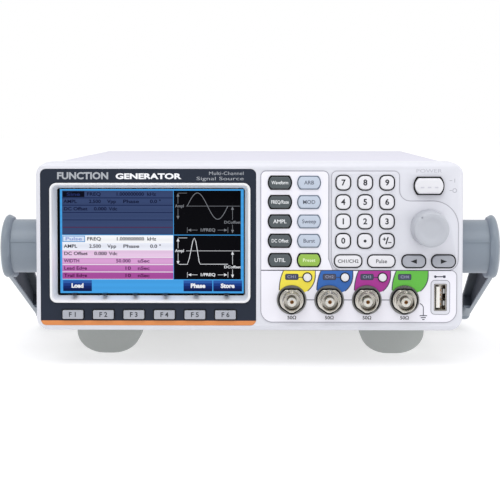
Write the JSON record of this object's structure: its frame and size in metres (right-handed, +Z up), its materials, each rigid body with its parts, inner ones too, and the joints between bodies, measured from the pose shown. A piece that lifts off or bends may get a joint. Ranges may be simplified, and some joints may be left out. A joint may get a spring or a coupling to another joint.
{
  "type": "function generator",
  "caption": "Bench function generator with a colour display, keypad, dial, coaxial output sockets and a swinging carrying handle that stows under its case.",
  "frame": {"origin": "middle of the footprint, on the plane under the feet", "axes": "+Z up; the front panel looks along -Y; +X to the right seen from the front"},
  "size_m": [0.268, 0.293, 0.107],
  "materials": {
    "frame_white": "moulded, fine satin texture",
    "cover_paint": "powder coat, satin",
    "overlay_print": "printed polyester sheet, satin",
    "fascia_dark": "printed sheet, satin gloss",
    "surround_silver": "silver paint, satin",
    "display_black": "display glass, glossy",
    "key_silver": "silver paint, satin",
    "key_dark": "silicone rubber, satin",
    "key_light": "silicone rubber, satin",
    "key_green": "silicone rubber, satin",
    "key_white": "moulded, satin",
    "dial_grey": "moulded, satin",
    "handle_grey": "moulded, satin",
    "hub_grey": "moulded, satin",
    "nickel": "nickel plated, bright",
    "insulator_white": "smooth",
    "chassis_zinc": "zinc plated sheet",
    "board_green": "solder mask",
    "black_plastic": "moulded, satin",
    "screw_steel": "zinc plated"
  },
  "bodies": {
    "case": {"front_frame": "frame_white", "panel_overlay": "overlay_print", "display_fascia": "fascia_dark", "display_surround": "surround_silver", "display_module": "display_black", "socket_shells": "nickel", "socket_cores": "insulator_white", "data_sockets": "nickel", "top_cover": "cover_paint", "chassis_tray": "chassis_zinc", "front_bulkhead": "chassis_zinc", "board_standoffs": "screw_steel", "rear_panel": "cover_paint", "handle_hubs": "hub_grey", "feet": "hub_grey", "key_board": "board_green", "main_board": "board_green", "power_supply": "board_green", "fan_frame": "black_plastic", "mains_inlet": "black_plastic", "screws": "screw_steel"},
    "handle": {"handle_arm_left": "handle_grey", "handle_arm_right": "handle_grey", "handle_grip": "handle_grey"},
    "power_button": {"power_button": "key_white"},
    "dial": {"dial": "dial_grey"},
    "fan_rotor": {"fan_rotor": "black_plastic"},
    "soft_key_1": {"soft_key_1": "key_silver"},
    "soft_key_2": {"soft_key_2": "key_silver"},
    "soft_key_3": {"soft_key_3": "key_silver"},
    "soft_key_4": {"soft_key_4": "key_silver"},
    "soft_key_5": {"soft_key_5": "key_silver"},
    "soft_key_6": {"soft_key_6": "key_silver"},
    "waveform_key": {"waveform_key": "key_dark"},
    "frequency_key": {"frequency_key": "key_dark"},
    "amplitude_key": {"amplitude_key": "key_dark"},
    "offset_key": {"offset_key": "key_dark"},
    "utility_key": {"utility_key": "key_dark"},
    "arbitrary_key": {"arbitrary_key": "key_light"},
    "modulation_key": {"modulation_key": "key_light"},
    "sweep_key": {"sweep_key": "key_light"},
    "burst_key": {"burst_key": "key_light"},
    "preset_key": {"preset_key": "key_green"},
    "digit_0_key": {"digit_0_key": "key_white"},
    "digit_1_key": {"digit_1_key": "key_white"},
    "digit_2_key": {"digit_2_key": "key_white"},
    "digit_3_key": {"digit_3_key": "key_white"},
    "digit_4_key": {"digit_4_key": "key_white"},
    "digit_5_key": {"digit_5_key": "key_white"},
    "digit_6_key": {"digit_6_key": "key_white"},
    "digit_7_key": {"digit_7_key": "key_white"},
    "digit_8_key": {"digit_8_key": "key_white"},
    "digit_9_key": {"digit_9_key": "key_white"},
    "point_key": {"point_key": "key_white"},
    "sign_key": {"sign_key": "key_white"},
    "channel_key": {"channel_key": "key_white"},
    "pulse_key": {"pulse_key": "key_white"},
    "left_key": {"left_key": "key_silver"},
    "right_key": {"right_key": "key_silver"},
    "output_1_button": {"output_1_button": "key_white"},
    "output_2_button": {"output_2_button": "key_white"},
    "output_3_button": {"output_3_button": "key_white"}
  },
  "joints": [
    {"name": "handle_swing", "type": "hinge", "parent": "case", "child": "handle", "pos_m": [0, -0.1015, 0.0608], "axis": [-1, 0, 0], "range_deg": [0, 300]},
    {"name": "power_press", "type": "slide", "parent": "case", "child": "power_button", "axis": [0, 1, 0], "range_m": [0, 0.003], "stiffness_N_per_m": 500},
    {"name": "dial_turn", "type": "hinge", "parent": "case", "child": "dial", "pos_m": [0.0925, -0.1315, 0.0731], "axis": [0, 1, 0], "continuous": true},
    {"name": "fan_spin", "type": "hinge", "parent": "case", "child": "fan_rotor", "pos_m": [0.06, 0.1265, 0.078], "axis": [0, 1, 0], "continuous": true},
    {"name": "soft_key_1_press", "type": "slide", "parent": "case", "child": "soft_key_1", "axis": [0, 1, 0], "range_m": [0, 0.001], "stiffness_N_per_m": 600},
    {"name": "soft_key_2_press", "type": "slide", "parent": "case", "child": "soft_key_2", "axis": [0, 1, 0], "range_m": [0, 0.001], "stiffness_N_per_m": 600},
    {"name": "soft_key_3_press", "type": "slide", "parent": "case", "child": "soft_key_3", "axis": [0, 1, 0], "range_m": [0, 0.001], "stiffness_N_per_m": 600},
    {"name": "soft_key_4_press", "type": "slide", "parent": "case", "child": "soft_key_4", "axis": [0, 1, 0], "range_m": [0, 0.001], "stiffness_N_per_m": 600},
    {"name": "soft_key_5_press", "type": "slide", "parent": "case", "child": "soft_key_5", "axis": [0, 1, 0], "range_m": [0, 0.001], "stiffness_N_per_m": 600},
    {"name": "soft_key_6_press", "type": "slide", "parent": "case", "child": "soft_key_6", "axis": [0, 1, 0], "range_m": [0, 0.001], "stiffness_N_per_m": 600},
    {"name": "waveform_press", "type": "slide", "parent": "case", "child": "waveform_key", "axis": [0, 1, 0], "range_m": [0, 0.001], "stiffness_N_per_m": 600},
    {"name": "frequency_press", "type": "slide", "parent": "case", "child": "frequency_key", "axis": [0, 1, 0], "range_m": [0, 0.001], "stiffness_N_per_m": 600},
    {"name": "amplitude_press", "type": "slide", "parent": "case", "child": "amplitude_key", "axis": [0, 1, 0], "range_m": [0, 0.001], "stiffness_N_per_m": 600},
    {"name": "offset_press", "type": "slide", "parent": "case", "child": "offset_key", "axis": [0, 1, 0], "range_m": [0, 0.001], "stiffness_N_per_m": 600},
    {"name": "utility_press", "type": "slide", "parent": "case", "child": "utility_key", "axis": [0, 1, 0], "range_m": [0, 0.001], "stiffness_N_per_m": 600},
    {"name": "arbitrary_press", "type": "slide", "parent": "case", "child": "arbitrary_key", "axis": [0, 1, 0], "range_m": [0, 0.001], "stiffness_N_per_m": 600},
    {"name": "modulation_press", "type": "slide", "parent": "case", "child": "modulation_key", "axis": [0, 1, 0], "range_m": [0, 0.001], "stiffness_N_per_m": 600},
    {"name": "sweep_press", "type": "slide", "parent": "case", "child": "sweep_key", "axis": [0, 1, 0], "range_m": [0, 0.001], "stiffness_N_per_m": 600},
    {"name": "burst_press", "type": "slide", "parent": "case", "child": "burst_key", "axis": [0, 1, 0], "range_m": [0, 0.001], "stiffness_N_per_m": 600},
    {"name": "preset_press", "type": "slide", "parent": "case", "child": "preset_key", "axis": [0, 1, 0], "range_m": [0, 0.001], "stiffness_N_per_m": 600},
    {"name": "digit_0_press", "type": "slide", "parent": "case", "child": "digit_0_key", "axis": [0, 1, 0], "range_m": [0, 0.001], "stiffness_N_per_m": 600},
    {"name": "digit_1_press", "type": "slide", "parent": "case", "child": "digit_1_key", "axis": [0, 1, 0], "range_m": [0, 0.001], "stiffness_N_per_m": 600},
    {"name": "digit_2_press", "type": "slide", "parent": "case", "child": "digit_2_key", "axis": [0, 1, 0], "range_m": [0, 0.001], "stiffness_N_per_m": 600},
    {"name": "digit_3_press", "type": "slide", "parent": "case", "child": "digit_3_key", "axis": [0, 1, 0], "range_m": [0, 0.001], "stiffness_N_per_m": 600},
    {"name": "digit_4_press", "type": "slide", "parent": "case", "child": "digit_4_key", "axis": [0, 1, 0], "range_m": [0, 0.001], "stiffness_N_per_m": 600},
    {"name": "digit_5_press", "type": "slide", "parent": "case", "child": "digit_5_key", "axis": [0, 1, 0], "range_m": [0, 0.001], "stiffness_N_per_m": 600},
    {"name": "digit_6_press", "type": "slide", "parent": "case", "child": "digit_6_key", "axis": [0, 1, 0], "range_m": [0, 0.001], "stiffness_N_per_m": 600},
    {"name": "digit_7_press", "type": "slide", "parent": "case", "child": "digit_7_key", "axis": [0, 1, 0], "range_m": [0, 0.001], "stiffness_N_per_m": 600},
    {"name": "digit_8_press", "type": "slide", "parent": "case", "child": "digit_8_key", "axis": [0, 1, 0], "range_m": [0, 0.001], "stiffness_N_per_m": 600},
    {"name": "digit_9_press", "type": "slide", "parent": "case", "child": "digit_9_key", "axis": [0, 1, 0], "range_m": [0, 0.001], "stiffness_N_per_m": 600},
    {"name": "point_press", "type": "slide", "parent": "case", "child": "point_key", "axis": [0, 1, 0], "range_m": [0, 0.001], "stiffness_N_per_m": 600},
    {"name": "sign_press", "type": "slide", "parent": "case", "child": "sign_key", "axis": [0, 1, 0], "range_m": [0, 0.001], "stiffness_N_per_m": 600},
    {"name": "channel_press", "type": "slide", "parent": "case", "child": "channel_key", "axis": [0, 1, 0], "range_m": [0, 0.001], "stiffness_N_per_m": 600},
    {"name": "pulse_press", "type": "slide", "parent": "case", "child": "pulse_key", "axis": [0, 1, 0], "range_m": [0, 0.001], "stiffness_N_per_m": 600},
    {"name": "left_press", "type": "slide", "parent": "case", "child": "left_key", "axis": [0, 1, 0], "range_m": [0, 0.001], "stiffness_N_per_m": 600},
    {"name": "right_press", "type": "slide", "parent": "case", "child": "right_key", "axis": [0, 1, 0], "range_m": [0, 0.001], "stiffness_N_per_m": 600},
    {"name": "output_1_press", "type": "slide", "parent": "case", "child": "output_1_button", "axis": [0, 1, 0], "range_m": [0, 0.001], "stiffness_N_per_m": 600},
    {"name": "output_2_press", "type": "slide", "parent": "case", "child": "output_2_button", "axis": [0, 1, 0], "range_m": [0, 0.001], "stiffness_N_per_m": 600},
    {"name": "output_3_press", "type": "slide", "parent": "case", "child": "output_3_button", "axis": [0, 1, 0], "range_m": [0, 0.001], "stiffness_N_per_m": 600}
  ]
}
